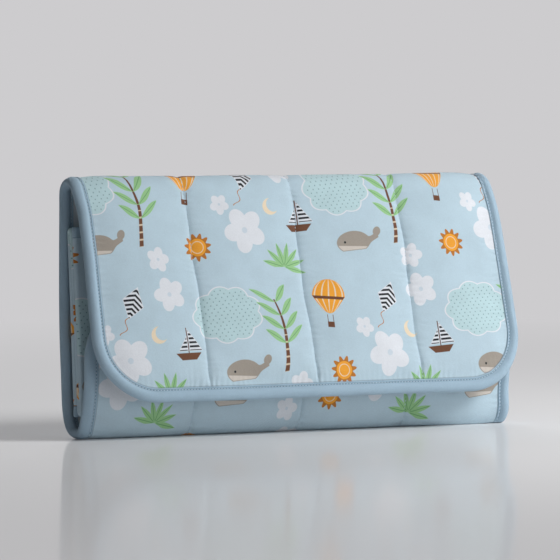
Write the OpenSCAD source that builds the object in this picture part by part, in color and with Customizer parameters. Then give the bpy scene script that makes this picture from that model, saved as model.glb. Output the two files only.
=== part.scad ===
// Folded travel changing pad: a quilted, bias-bound cover folded round a separate changing mat.
// Units are millimetres. +Z is up, -Y is the front, and the origin is the centre of the resting face.

/* [Cover] */
// Width of the cover, binding included
pad_w = 360; // [280:1:450]
// Height of the folded cover, table to top fold
pad_h = 188; // [150:1:240]
// Distance from the front panel's top edge up to the top of the cover
front_drop = 86; // [60:1:110]
// Height of the flap's lower edge above the table
flap_foot_z = 29; // [15:1:60]
// Radius of the rounded corners at both ends of the strip
corner_r = 48; // [20:1:60]

/* [Layers] */
// Thickness of the printed outer fabric
fabric_t = 1; // [0.6:0.1:1.5]
// Thickness of the wadding
wadding_t = 5; // [3:0.1:7]
// Thickness of the lining
lining_t = 1; // [0.6:0.1:1.5]

/* [Binding] */
// Width of the bias binding on each face
binding_w = 9; // [6:0.5:14]
// Thickness of the binding round the raw edge
binding_edge_t = 1; // [0.6:0.1:2]

/* [Folds] */
// Outside radius of the top fold
top_fold_r = 10.5; // [9:0.1:16]
// Outside radius of the bottom fold at the back
back_fold_r = 16; // [9:0.5:18]
// Outside radius of the bottom fold at the front
front_fold_r = 12; // [8.5:0.5:14]

/* [Mat] */
// Distance from the top of the folded mat to the top of the cover
mat_head_gap = 36; // [25:1:70]
// Thickness of the mat's printed cover
mat_cover_t = 0.5; // [0.3:0.1:1]
// Thickness of the mat's foam
mat_foam_t = 1.1; // [0.6:0.1:2.5]
// Thickness of the mat's wipe-clean face
mat_face_t = 0.5; // [0.3:0.1:1]
// Width of the mat's own edge binding
mat_binding_w = 8; // [5:0.5:12]

/* [Closure] */
// Width of the hook and loop tapes
tape_w = 60; // [20:1:120]
// Height of the hook and loop tapes
tape_h = 20; // [10:1:30]
// Thickness of the hook tape
hook_t = 1.2; // [0.8:0.1:2]
// Thickness of the loop tape
loop_t = 1.6; // [0.8:0.1:2.5]
// Distance from the flap's lower edge to the hook tape
hook_inset = 14; // [10:1:30]
// Distance from the front panel's top edge to the loop tape
loop_inset = 39.6; // [12:0.1:60]

/* [Clearances] */
// Gap between the mat's ends and the cover's side edges
mat_side_gap = 2; // [1:0.5:12]
// Height of the mat's lower fold above the table
mat_foot_z = 15; // [10:0.5:24]
// Gap behind the mat at its top
mat_top_gap = 0.5; // [0.5:0.1:3]
// Gap behind the mat at its foot
mat_foot_gap = 9; // [3:0.5:12]
// Gap in front of the mat at its foot
mat_fore_gap = 2.8; // [2:0.1:8]
// Gap between the front panel's top edge and the mat
front_gap = 1.2; // [0.6:0.1:3]
// Gap between the front panel's top edge and the flap
flap_gap = 4.6; // [4:0.1:10]
// Gap between the mat's top and the flap
mat_flap_gap = 0.6; // [0.5:0.1:6]
// Gap between the folded thirds and between the plies of the mat
fold_gap = 0.3; // [0.3:0.1:1]

/* [Hidden] */
$fn = 96;

// Panel thickness and the levels of its layers, measured from the inner face
panel_t = fabric_t + wadding_t + lining_t;
lining_top = lining_t;
wadding_top = lining_t + wadding_t;

// Height of the front panel's top edge above the table, and of the mat from fold to fold
front_h = pad_h - front_drop;
mat_h = pad_h - mat_foot_z - mat_head_gap;

// Folded mat: each third is two plies thick, and three thirds lie one behind the other
ply_t = mat_cover_t + mat_foam_t + mat_face_t;
third_t = 2 * ply_t;
third_pitch = third_t + fold_gap;
mat_t = 3 * third_t + 2 * fold_gap;
mat_w = pad_w - 2 * mat_side_gap;
turn_r = third_pitch / 2;

// Depths run from the back's outer face towards the front
body_d = 2 * panel_t + mat_t + mat_foot_gap + mat_fore_gap;
mat_rear_d = panel_t + mat_foot_gap;
mat_lean = atan((mat_foot_gap - mat_top_gap) / mat_h);
rest_d0 = back_fold_r;
rest_d1 = body_d - front_fold_r;
mid_d = (rest_d0 + rest_d1) / 2;

// Angle from upright of a straight panel leaving a bend (centre c, inner radius r) whose inner
// face passes through point p; for a panel that runs down, and for one that runs up
function lean_down(c, r, p) =
    let (a = p[0] - c[0], b = c[1] - p[1]) acos(r / norm([a, b])) - atan2(b, a);
function lean_up(c, r, p) =
    let (a = p[0] - c[0], b = p[1] - c[1]) atan2(b, a) - acos(r / norm([a, b]));

// Front panel: leans back so that its top edge stays just clear of the mat
front_c = [rest_d1, front_fold_r];
front_in = [mat_rear_d + mat_t - (front_h - mat_foot_z) * tan(mat_lean) + front_gap, front_h];
front_in_r = front_fold_r - panel_t;
front_lean = lean_up(front_c, front_in_r, front_in);
front_len = (front_h - front_c[1] - front_fold_r * sin(front_lean)) / cos(front_lean);

// Flap: hangs outwards so that its inner face clears the front panel's top edge and the mat's top
flap_c = [top_fold_r, pad_h - top_fold_r];
flap_in = [front_in[0] + panel_t / cos(front_lean) + flap_gap, front_h];
top_in = top_fold_r - panel_t;
mat_in = [mat_rear_d + mat_t * cos(mat_lean) - mat_h * sin(mat_lean) + mat_flap_gap,
    mat_foot_z + mat_t * sin(mat_lean) + mat_h * cos(mat_lean)];
flap_tilt = max(lean_down(flap_c, top_in, flap_in), lean_down(flap_c, top_in, mat_in));
flap_len = (flap_c[1] + top_fold_r * sin(flap_tilt) - flap_foot_z) / cos(flap_tilt);

// Closure: the loop tape sits where the flap's foot meets the front panel when pressed down
hook_y = hook_inset - flap_len;
loop_y = front_len - loop_inset - tape_h;

// Frames: the profile frame of the cover, and the planes of its leaning panels
function y_at(d) = mid_d - d;

module in_panel(c, lean) translate([0, y_at(c[0]), c[1]]) rotate([90 - lean, 0, 0]) children();
module across(x0, x1) rotate([90, 0, 90]) translate([0, 0, x0]) linear_extrude(x1 - x0)
    children();

// Section of one layer of a bend, between levels n0 and n1 of a panel with inner radius r
module bend_section(c, from_angle, sweep, r, n0, n1) translate([y_at(c[0]), c[1]])
    rotate(from_angle) intersection() {
        difference() {
            circle(r + n1);
            circle(r + n0);
        }
        polygon([[0, 0], for (k = [0:3]) 2 * (r + n1) * [cos(k * sweep / 3), sin(k * sweep / 3)]]);
    }

// Binding section, folded over the raw edge; x runs through the panel from inner radius r
module binding_section(r) polygon([[r, 0], [r + panel_t, 0], [r + panel_t, binding_w],
    [r + wadding_top, binding_w], [r + wadding_top, binding_edge_t],
    [r + lining_top, binding_edge_t], [r + lining_top, binding_w], [r, binding_w]]);
module bend_binding(c, from_angle, sweep, r) translate([-pad_w / 2, y_at(c[0]), c[1]])
    rotate([90, 0, 90]) rotate([0, 0, from_angle]) mirror([0, sweep < 0 ? 1 : 0, 0])
        rotate_extrude(angle = abs(sweep)) binding_section(r);

// Outline of a panel with two rounded corners, inset all round except at its root
module panel_outline(len, inset, over = 0) {
    r = corner_r - inset;
    w = pad_w - 2 * inset;
    translate([-w / 2, -over]) square([w, len - corner_r + over]);
    translate([-w / 2 + r, 0]) square([w - 2 * r, len - inset]);
    for (s = [-1, 1]) translate([s * (w / 2 - r), len - corner_r]) intersection() {
        circle(r);
        translate([-r, 0]) square(2 * r);
    }
}
module panel_layer(len, inset, n0, n1, over = 0) translate([0, 0, n0])
    linear_extrude(n1 - n0) panel_outline(len, inset, over);
module panel_binding(len, r0) difference() {
    panel_layer(len, 0, r0, r0 + panel_t);
    panel_layer(len, binding_edge_t, r0 + lining_top, r0 + wadding_top, 1);
    panel_layer(len, binding_w, r0 - 1, r0 + panel_t + 1, 1);
}

// Back panel
back_z0 = back_fold_r;
back_z1 = flap_c[1];
module back_section(n0, n1) translate([y_at(panel_t - n0), back_z0])
    square([n1 - n0, back_z1 - back_z0]);
module back_layer(n0, n1, inset) across(inset - pad_w / 2, pad_w / 2 - inset)
    back_section(n0, n1);
module back_binding(side) mirror([side > 0 ? 1 : 0, 0, 0])
    translate([-pad_w / 2, y_at(panel_t), back_z0]) linear_extrude(back_z1 - back_z0)
        mirror([1, -1, 0]) binding_section(0);

module back_outer_fabric() color("#b9ceda") back_layer(wadding_top, panel_t, binding_w);
module back_wadding() color("#f4f3ee") back_layer(lining_top, wadding_top, binding_edge_t);
module back_lining() color("#e9eef0") back_layer(0, lining_top, binding_w);
module back_binding_left() color("#9db9ca") back_binding(-1);
module back_binding_right() color("#9db9ca") back_binding(1);

// Top fold, from the back over to the flap
top_sweep = 180 - flap_tilt;
module top_section(n0, n1) bend_section(flap_c, 0, top_sweep, top_in, n0, n1);
module top_layer(n0, n1, inset) across(inset - pad_w / 2, pad_w / 2 - inset) top_section(n0, n1);
module top_binding(side) mirror([side > 0 ? 1 : 0, 0, 0])
    bend_binding(flap_c, 0, top_sweep, top_in);

module top_fold_outer_fabric() color("#b9ceda") top_layer(wadding_top, panel_t, binding_w);
module top_fold_wadding() color("#f4f3ee") top_layer(lining_top, wadding_top, binding_edge_t);
module top_fold_lining() color("#e9eef0") top_layer(0, lining_top, binding_w);
module top_fold_binding_left() color("#9db9ca") top_binding(-1);
module top_fold_binding_right() color("#9db9ca") top_binding(1);

// Bottom fold: a bend at the back, the flat resting strip and a bend at the front
back_c = [rest_d0, back_fold_r];
front_sweep = 90 + front_lean;
module bottom_section(n0, n1) {
    bend_section(back_c, -90, 90, back_fold_r - panel_t, n0, n1);
    translate([y_at(rest_d1), panel_t - n1]) square([rest_d1 - rest_d0, n1 - n0]);
    bend_section(front_c, -90, -front_sweep, front_in_r, n0, n1);
}
module bottom_layer(n0, n1, inset) across(inset - pad_w / 2, pad_w / 2 - inset)
    bottom_section(n0, n1);
module bottom_binding(side) mirror([side > 0 ? 1 : 0, 0, 0]) {
    bend_binding(back_c, -90, 90, back_fold_r - panel_t);
    translate([-pad_w / 2, y_at(rest_d0), panel_t]) rotate([90, 0, 0])
        linear_extrude(rest_d1 - rest_d0) rotate(-90) binding_section(0);
    bend_binding(front_c, -90, -front_sweep, front_in_r);
}

module bottom_fold_outer_fabric() color("#b9ceda") bottom_layer(wadding_top, panel_t, binding_w);
module bottom_fold_wadding() color("#f4f3ee")
    bottom_layer(lining_top, wadding_top, binding_edge_t);
module bottom_fold_lining() color("#e9eef0") bottom_layer(0, lining_top, binding_w);
module bottom_fold_binding_left() color("#9db9ca") bottom_binding(-1);
module bottom_fold_binding_right() color("#9db9ca") bottom_binding(1);

// Flap, hanging from the top fold
module flap_layer(n0, n1, inset) in_panel(flap_c, flap_tilt) mirror([0, 1, 0])
    panel_layer(flap_len, inset, top_in + n0, top_in + n1);

module flap_outer_fabric() color("#b9ceda") flap_layer(wadding_top, panel_t, binding_w);
module flap_wadding() color("#f4f3ee") flap_layer(lining_top, wadding_top, binding_edge_t);
module flap_lining() color("#e9eef0") flap_layer(0, lining_top, binding_w);
module flap_binding() color("#9db9ca") in_panel(flap_c, flap_tilt) mirror([0, 1, 0])
    panel_binding(flap_len, top_in);
module hook_tape() color("#eef2f4") in_panel(flap_c, flap_tilt)
    translate([-tape_w / 2, hook_y, top_in - hook_t]) cube([tape_w, tape_h, hook_t]);

// Front panel, standing up from the bottom fold
module front_layer(n0, n1, inset) in_panel(front_c, front_lean)
    panel_layer(front_len, inset, front_in_r + n0, front_in_r + n1);

module front_outer_fabric() color("#b9ceda") front_layer(wadding_top, panel_t, binding_w);
module front_wadding() color("#f4f3ee") front_layer(lining_top, wadding_top, binding_edge_t);
module front_lining() color("#e9eef0") front_layer(0, lining_top, binding_w);
module front_binding() color("#9db9ca") in_panel(front_c, front_lean)
    panel_binding(front_len, front_in_r);
module loop_tape() color("#eef2f4") in_panel(front_c, front_lean)
    translate([-tape_w / 2, loop_y, front_fold_r]) cube([tape_w, tape_h, loop_t]);

// Mat frame: x from the folded end, y towards the front through the bundle, z up from its foot
module in_mat() translate([-pad_w / 2 + mat_side_gap, y_at(mat_rear_d), mat_foot_z])
    rotate([-mat_lean, 0, 0]) children();
function third_y(i) = -ply_t - i * third_pitch;
turn_z = turn_r + ply_t;

// Two plies of one third, out to distance h from the surface where the plies meet
module third_solid(i, h, x1, z0, z1) translate([0, third_y(i), z0]) {
    translate([ply_t, 0, 0]) cylinder(r = h, h = z1 - z0);
    translate([ply_t, -h, 0]) cube([x1 - ply_t, 2 * h, z1 - z0]);
}
module third_shell(i, h0, h1, x1, z0, z1) difference() {
    third_solid(i, h1, x1, z0, z1);
    if (h0 > 0) third_solid(i, h0, x1 + 1, z0 - 1, z1 + 1);
}
// The turn that joins third i to the next one, above or below
module turn(i, h0, h1, x0, x1, up) {
    y = third_y(i) - turn_r;
    for (r = h0 > 0 ? [[turn_r + h0, turn_r + h1], [turn_r - h1, turn_r - h0]]
            : [[turn_r - h1, turn_r + h1]])
        translate([x0, y, up ? mat_h - turn_z : turn_z]) rotate([90, 0, 90])
            rotate([0, 0, up ? 0 : 180]) rotate_extrude(angle = 180)
                translate([r[0], 0]) square([r[1] - r[0], x1 - x0]);
}
// One layer right through the folded mat, between distances h0 and h1 from the plies' meeting
module mat_layer(h0, h1) in_mat() {
    x1 = mat_w - mat_binding_w;
    third_shell(0, h0, h1, x1, mat_binding_w, mat_h - turn_z);
    third_shell(1, h0, h1, x1, turn_z, mat_h - turn_z);
    third_shell(2, h0, h1, x1, turn_z, mat_h - mat_binding_w);
    turn(0, h0, h1, ply_t, x1, true);
    turn(1, h0, h1, ply_t, x1, false);
}

module mat_cover() color("#b3cbd9") mat_layer(ply_t - mat_cover_t, ply_t);
module mat_foam() color("#eceae2") mat_layer(mat_face_t, mat_face_t + mat_foam_t);
module mat_face() color("#dfe9ee") mat_layer(0, mat_face_t);
module mat_binding() color("#9db9ca") in_mat() {
    g = fold_gap / 2;
    x1 = mat_w - mat_binding_w;
    third_shell(0, g, ply_t, mat_w, 0, mat_binding_w);
    third_shell(2, g, ply_t, mat_w, mat_h - mat_binding_w, mat_h);
    for (e = [[0, mat_binding_w, mat_h - turn_z], [1, turn_z, mat_h - turn_z],
            [2, turn_z, mat_h - mat_binding_w]], s = [-1, 1])
        translate([x1, third_y(e[0]) + (s < 0 ? -ply_t : g), e[1]])
            cube([mat_binding_w, ply_t - g, e[2] - e[1]]);
    turn(0, g, ply_t, x1, mat_w, true);
    turn(1, g, ply_t, x1, mat_w, false);
}

back_outer_fabric();
back_wadding();
back_lining();
back_binding_left();
back_binding_right();
top_fold_outer_fabric();
top_fold_wadding();
top_fold_lining();
top_fold_binding_left();
top_fold_binding_right();
bottom_fold_outer_fabric();
bottom_fold_wadding();
bottom_fold_lining();
bottom_fold_binding_left();
bottom_fold_binding_right();
flap_outer_fabric();
flap_wadding();
flap_lining();
flap_binding();
hook_tape();
front_outer_fabric();
front_wadding();
front_lining();
front_binding();
loop_tape();
mat_cover();
mat_foam();
mat_face();
mat_binding();
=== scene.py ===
"""Folded travel changing pad: a quilted, bias-bound cover folded round a changing mat."""
import math

import bmesh
import bpy
import numpy as np
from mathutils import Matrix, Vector


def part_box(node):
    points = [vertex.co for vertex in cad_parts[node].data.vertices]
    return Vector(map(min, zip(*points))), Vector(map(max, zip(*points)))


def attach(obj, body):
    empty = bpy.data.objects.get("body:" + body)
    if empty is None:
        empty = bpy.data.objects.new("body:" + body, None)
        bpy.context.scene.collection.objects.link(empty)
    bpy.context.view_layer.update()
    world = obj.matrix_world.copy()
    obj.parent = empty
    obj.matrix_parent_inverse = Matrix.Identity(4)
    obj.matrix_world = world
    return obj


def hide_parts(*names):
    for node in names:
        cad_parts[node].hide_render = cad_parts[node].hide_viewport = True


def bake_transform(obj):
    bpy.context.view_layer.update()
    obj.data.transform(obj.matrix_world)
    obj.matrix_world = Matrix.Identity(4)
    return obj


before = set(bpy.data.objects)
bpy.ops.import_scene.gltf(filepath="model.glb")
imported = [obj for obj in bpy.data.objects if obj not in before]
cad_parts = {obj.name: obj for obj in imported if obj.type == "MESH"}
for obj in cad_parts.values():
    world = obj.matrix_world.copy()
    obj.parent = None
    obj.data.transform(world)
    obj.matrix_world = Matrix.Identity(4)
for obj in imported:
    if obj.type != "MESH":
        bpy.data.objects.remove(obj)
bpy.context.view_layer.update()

bl_info = {
    "name": "Folded travel changing pad",
    "version": (1, 0, 0),
    "blender": (4, 5, 0),
    "location": "3D View > Sidebar > Changing pad",
    "description": "Builds the quilted cover, its binding and stitching, and the folded mat",
    "category": "Object",
}

MM = 0.001


# ---------------------------------------------------------------- sizes and colours
def linear(colour):
    """An sRGB hex colour as linear red, green, blue and 1."""
    parts = [int(colour[i:i + 2], 16) / 255 for i in (1, 3, 5)]
    return (*(c / 12.92 if c <= 0.04045 else ((c + 0.055) / 1.055) ** 2.4 for c in parts), 1)


def length_prop(name, description, default):
    """A length, written in millimetres and kept in metres."""
    return bpy.props.FloatProperty(
        name=name, description=description, default=default * MM, min=0, precision=4, subtype="DISTANCE")


def angle_prop(name, description, default):
    """An angle, written in degrees and kept in radians."""
    return bpy.props.FloatProperty(
        name=name, description=description, default=math.radians(default), subtype="ANGLE")


def colour_prop(name, description, default):
    """A colour, written as sRGB hex."""
    return bpy.props.FloatVectorProperty(
        name=name, description=description, default=linear(default), size=4, min=0, max=1,
        subtype="COLOR")


def cad_size(name, axis):
    """How wide, deep or tall a CAD node is, in millimetres."""
    low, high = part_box(name)
    return round((high[axis] - low[axis]) / MM, 1)


def cad_top(name):
    """How high a CAD node reaches, in millimetres."""
    return round(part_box(name)[1][2] / MM, 1)


class CoverSettings(bpy.types.PropertyGroup):
    """Sizes of the quilted cover."""
    width: length_prop("Width", "Width of the cover", cad_size("flap_binding", 0))
    height: length_prop("Height", "Height of the folded cover", cad_top("top_fold_outer_fabric"))
    fold_radius: length_prop("Top fold", "Radius of the top fold at the middle of its thickness", 9.3)
    flap_tilt: angle_prop("Flap tilt", "Angle of the flap from upright", 16.6)
    flap_length: length_prop("Flap length", "Length of the flap below the fold", 158.1)
    back_bulge: length_prop("Back bulge", "How far the back panel bows outwards", 4.4)
    front_bulge: length_prop("Front bulge", "How far the front panel bows outwards", 3.6)
    front_height: length_prop("Front height", "Height of the front panel's top edge",
                              cad_top("front_binding"))
    corner: length_prop("Corner", "Radius of the rounded corners", 48.0)
    channels: bpy.props.IntProperty(name="Channels", description="Quilted channels across", default=4)
    loft: length_prop("Loft", "How far a channel swells above its seams", 3.2)


class MatSettings(bpy.types.PropertyGroup):
    """Sizes of the folded mat and of the closure."""
    width: length_prop("Width", "Width of the folded mat", cad_size("mat_binding", 0))
    height: length_prop("Height", "Height of the folded mat", 137.0)
    lean: angle_prop("Lean", "Angle at which it leans on the back panel", 4.7)
    foot: length_prop("Foot", "Height of its lower folds above the table", 15.5)
    rear: length_prop("Rear", "Depth of its rear face at the foot", 15.4)
    binding: length_prop("Binding", "Width of its edge binding", 8.0)
    tape_width: length_prop("Closure width", "Width of the hook and loop tapes",
                            cad_size("hook_tape", 0))
    tape_height: length_prop("Closure height", "Height of the hook and loop tapes", 20.0)
    hook_inset: length_prop("Hook inset", "From the flap's foot to the hook tape", 14.0)
    loop_inset: length_prop("Loop inset", "From the front panel's top to the loop tape", 39.6)


class ColourSettings(bpy.types.PropertyGroup):
    """Colours of the cloth and of the stage."""
    ground: colour_prop("Ground", "Ground of the print", "#bad0dc")
    binding: colour_prop("Binding", "Bias binding", "#a1bacb")
    lining: colour_prop("Lining", "Lining", "#dbe3e8")
    thread: colour_prop("Thread", "Stitching thread", "#bccedb")
    floor: colour_prop("Floor", "Floor under the pad", "#f1f1f2")
    backdrop: colour_prop("Backdrop", "Backdrop behind it", "#cdccce")


class Sizes:
    """Settings read in the units that the cloth is drawn in: millimetres and degrees."""

    def __init__(self, settings):
        self.settings = settings

    def __getattr__(self, key):
        value = getattr(self.settings, key)
        unit = self.settings.bl_rna.properties[key].unit
        if unit == "LENGTH":
            return round(value / MM, 3)
        return round(math.degrees(value), 3) if unit == "ROTATION" else value


def cover():
    """The cover's sizes."""
    return Sizes(bpy.context.scene.pad_cover)


def mat():
    """The mat's sizes."""
    return Sizes(bpy.context.scene.pad_mat)


def colours():
    """The colour settings."""
    return bpy.context.scene.pad_colours


# ---------------------------------------------------------------- the flat pattern and its folds
def running(points):
    """Distance along a line of points, from its first."""
    return np.concatenate([[0], np.cumsum(np.linalg.norm(np.diff(points, axis=0), axis=1))])


class Ribbon:
    """A strip folded in depth and height: its middle line, and the normal that points out of it."""

    def __init__(self, points, soften):
        """points are (depth, height) along the strip; soften is the smoothing length of its bends."""
        spacing = 0.5
        p = np.array(points, float)
        s = running(p)
        even = np.linspace(0, s[-1], int(s[-1] / spacing))
        p = np.stack([np.interp(even, s, p[:, k]) for k in (0, 1)], 1)
        window = int(3 * soften / spacing)
        weights = np.exp(-0.5 * (np.arange(-window, window + 1) * spacing / soften) ** 2)
        ends = np.concatenate([
            p[0] + (p[0] - p[1]) * np.arange(window, 0, -1)[:, None], p,
            p[-1] + (p[-1] - p[-2]) * np.arange(1, window + 1)[:, None]])
        p = np.stack([np.convolve(ends[:, k], weights / weights.sum(), "valid") for k in (0, 1)], 1)
        self.s = running(p)
        t = np.gradient(p, self.s, axis=0)
        t /= np.linalg.norm(t, axis=1)[:, None]
        self.p, self.n = p, np.stack([t[:, 1], -t[:, 0]], 1)
        self.length = self.s[-1]

    def at(self, s, h):
        """Depth and height of points at distance s along the strip and h out of its middle."""
        over = s - np.clip(s, 0, self.length)
        p = [np.interp(s, self.s, self.p[:, k]) for k in (0, 1)]
        n = [np.interp(s, self.s, self.n[:, k]) for k in (0, 1)]
        size = np.hypot(n[0], n[1])
        n = [n[0] / size, n[1] / size]
        return p[0] + h * n[0] - over * n[1], p[1] + h * n[1] + over * n[0]


def arc(centre, radius, start, stop):
    """Points of an arc from angle start to stop, in degrees from the depth axis."""
    angles = np.radians(np.linspace(start, stop, max(3, int(abs(stop - start) / 3))))
    return [(centre[0] + radius * math.cos(a), centre[1] + radius * math.sin(a)) for a in angles]


def curve(points, steps=12):
    """A smooth curve through points, without its first and last, which only set its direction."""
    p = np.array(points, float)
    t = np.linspace(0, 1, steps, endpoint=False)[:, None]
    parts = []
    for a, b, c, d in zip(p, p[1:], p[2:], p[3:]):
        parts.append(0.5 * (2 * b + (c - a) * t + (2 * a - 5 * b + 4 * c - d) * t ** 2
                            + (3 * b - a - 3 * c + d) * t ** 3))
    return [tuple(x) for x in np.vstack(parts + [p[-2:-1]])]


# All in millimetres
REST_MIDDLE = 21.5  # depth of the resting strip's middle, which is the frame's origin
EDGE = 3.3  # half thickness of the bound edge
CLOTH_EDGE = 1.9  # half thickness of the quilted cloth where its binding grips it
FLOOR = 3.5  # height of the strip's middle where it lies on the table
TAPE_BED = 3.3  # half thickness of the quilting where a closure is sewn on
STITCH_INSET, STITCH_HEIGHT = 8.0, 2.15  # the binding's stitches, from its edge and its middle


def cover_ribbon():
    """The cover's strip, from the flap's foot over the back to the front panel's top."""
    c = cover()
    tilt = math.radians(c.flap_tilt)
    bend = c.fold_radius
    rear = 3.6 - 0.9 * c.back_bulge
    top = (rear + bend, c.height + 1.2 - EDGE - bend)
    start = (top[0] + bend * math.cos(tilt), top[1] + bend * math.sin(tilt))
    foot = (start[0] + c.flap_length * math.sin(tilt), start[1] - c.flap_length * math.cos(tilt))
    down_back = [(rear, 200), (rear, top[1] - 3), (3.3 - c.back_bulge, 135),
                 (2.9 - 0.6 * c.back_bulge, 80), (2.8, 42)]
    round_bottom = [(4.8, 18), (10.8, 6.0), (20, FLOOR), (27.6, 5.2), (33.2, 17)]
    up_front = [(35.2 + 0.85 * c.front_bulge, 38), (35.2 + c.front_bulge, 60),
                (33.2, c.front_height), (31, 120)]
    points = [foot] + arc(top, bend, c.flap_tilt, 180) + curve(down_back + round_bottom + up_front)
    return Ribbon(points, 2.2)


def crown(s):
    """From 0 to 1 near the top fold, where the cloth is drawn tight."""
    c = cover()
    middle = c.flap_length + c.fold_radius * math.pi / 2
    return np.exp(-((s - middle) / 24) ** 2)


def keel(s):
    """From 0 to 1 along the bottom fold, where the pad's weight presses the seams level."""
    ribbon = cover_ribbon()
    return np.clip(1 - (np.interp(s, ribbon.s, ribbon.p[:, 1]) - FLOOR) / 9, 0, 1)


def wobble(u, s):
    """Slow unevenness of the cloth, in millimetres out of the strip's middle."""
    return (0.55 * np.sin(u / 41 + 1.3 * np.sin(s / 73)) * np.cos(s / 57 + 0.6)
            + 0.35 * np.sin(u / 23 - s / 31 + 1.1) + 0.2 * np.cos(u / 13 + s / 19))


def drift(u, s, length):
    """How far the cloth and its seams waver sideways, in millimetres, away from the bound edge."""
    inside = np.clip((edge_distance(u, s, length) - 8) / 22, 0, 1)
    return inside * (0.7 * np.sin(s / 19 + u / 60) + 0.35 * np.sin(s / 7.5 + u / 21 + 1))


def eased(t):
    """Eases from 0 to 1."""
    t = np.clip(t, 0, 1)
    return t * t * (3 - 2 * t)


def shoulder(s):
    """From 0 to 1 on the flap just below the top fold, where its left end stands off the mat."""
    below = cover().flap_length - s
    return eased((below + 8) / 28) * (1 - eased((below - 35) / 105))


def toe(s, length):
    """From 0 to 1 at the foot of the front panel, which is squarer at its right end."""
    return np.exp(-((s - length + cover().front_height - 8) / 14) ** 2)


def fold_cover(flat):
    """Folds flat cover points (across, along, out), in millimetres, into place, in metres."""
    ribbon = cover_ribbon()
    u, s, h = flat[:, 0], flat[:, 1], flat[:, 2]
    left, right = np.clip(-u / 180, 0, 1), np.clip(u / 180, 0, 1)
    edge = edge_distance(u, s, ribbon.length)
    # Over the top fold the cloth beside the tape is drawn up to the tape's height
    taut = crown(s) * eased((edge - 3) / 5) * (1 - eased((edge - 14) / 42))
    h = h + (1.1 - 0.9 * right) * taut * np.clip(h / 1.5, 0, 1)
    # On the table the tape, its stitch line and the cloth beside them are pressed level
    level = eased((keel(s) - 0.4) / 0.45) * eased((edge - 2) / 3) * (1 - eased((edge - 16) / 26))
    h = np.where(h > 1.4, h + 0.85 * level * np.maximum(3.55 - h, 0), h)
    # The flap's left shoulder stands out and the front panel's right toe is squarer, and the top
    # fold is pulled in at its right end
    h = h + 3.2 * shoulder(s) * left ** 2 + 3.5 * toe(s, ribbon.length) * right ** 2
    u = u + drift(u, s, ribbon.length) + 1.2 * shoulder(s) * left ** 3
    u = u + (2.0 * toe(s, ribbon.length) - 5.5 * crown(s)) * right ** 3
    clear_of_table = np.clip((np.interp(s, ribbon.s, ribbon.p[:, 1]) - 8) / 30, 0, 1)
    d, z = ribbon.at(s, h + wobble(u, s) * clear_of_table * (1 - 0.7 * crown(s)))
    z = np.maximum(z, 0.15 + 0.04 * np.minimum(z, 0))
    return np.stack([u, REST_MIDDLE - d, z], 1) * MM


def half_width(s, length, inset):
    """Half the strip's width at s, with its outline inset all round."""
    c = cover()
    r = c.corner - inset
    end = np.minimum(s, length - s) - inset
    dip = r - np.sqrt(np.maximum(r * r - np.maximum(r - np.maximum(end, 0), 0) ** 2, 0))
    return c.width / 2 - inset - dip


def edge_distance(u, s, length):
    """How far inside the strip's rounded outline a flat point lies."""
    c = cover()
    across, along = c.width / 2 - np.abs(u), np.minimum(s, length - s)
    corner = c.corner - np.hypot(np.maximum(c.corner - across, 0), np.maximum(c.corner - along, 0))
    return np.where((across < c.corner) & (along < c.corner), corner, np.minimum(across, along))


def seams():
    """Where the quilting seams run, across the strip."""
    c = cover()
    return [c.width * (k / c.channels - 0.5) for k in range(1, c.channels)]


def seam_gap(u):
    """Distance across to the nearest quilting seam."""
    return np.min([np.abs(u - x) for x in seams()], axis=0)


def tape_beds(length):
    """Where the closures are sewn on: the side of the strip, and the middle along it."""
    m = mat()
    return {"hook": (-1, m.hook_inset + m.tape_height / 2),
            "loop": (1, length - m.loop_inset - m.tape_height / 2)}


def on_tape_bed(u, s, length, side):
    """From 0 to 1 where a closure's stitching draws the cloth flat."""
    m = mat()
    flat = 0.0
    for bed_side, middle in tape_beds(length).values():
        away = np.hypot(np.maximum(np.abs(u) - m.tape_width / 2, 0),
                        np.maximum(np.abs(s - middle) - m.tape_height / 2, 0))
        flat = np.maximum(flat, np.where(side == bed_side, eased(1 - away / 12), 0))
    return flat


def swell(u, s, length, side):
    """How far the quilted panel's outside (side 1) or lining (side -1) stands from its middle."""
    gap = seam_gap(u)
    ease = np.clip((edge_distance(u, s, length) - 9.8) / (15 - 9 * keel(s)), 0, 1)
    loft = cover().loft * np.where(side > 0, 1, 0.5) * (1 - 0.55 * crown(s))
    # A seam lies in a wide hollow, with a narrow crease along the thread
    valley = 0.36 * np.exp(-gap / 2.4) + 0.64 * np.exp(-(gap / 13) ** 1.3)
    channel = CLOTH_EDGE + loft * (1 - (1 - 0.75 * keel(s) - 0.4 * crown(s)) * valley)
    pucker = 0.2 * (1 - keel(s)) * np.exp(-gap / 9) * np.sin(s / 1.55 + 2.2 * np.sin(s / 9.1) + u / 30)
    share = (0.25 + 0.75 * ease ** 0.8) * np.clip(ease * 4, 0, 1)
    full = CLOTH_EDGE + (channel + pucker - CLOTH_EDGE) * share
    return full + (np.minimum(full, TAPE_BED) - full) * on_tape_bed(u, s, length, side)


# ---------------------------------------------------------------- mesh helpers
def grid(columns, rows):
    """A flat grid, with a corner at the origin and sides of 1."""
    bm = bmesh.new()
    bmesh.ops.create_grid(bm, x_segments=columns, y_segments=rows, size=0.5)
    bmesh.ops.translate(bm, verts=bm.verts, vec=(0.5, 0.5, 0))
    return bm


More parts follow.
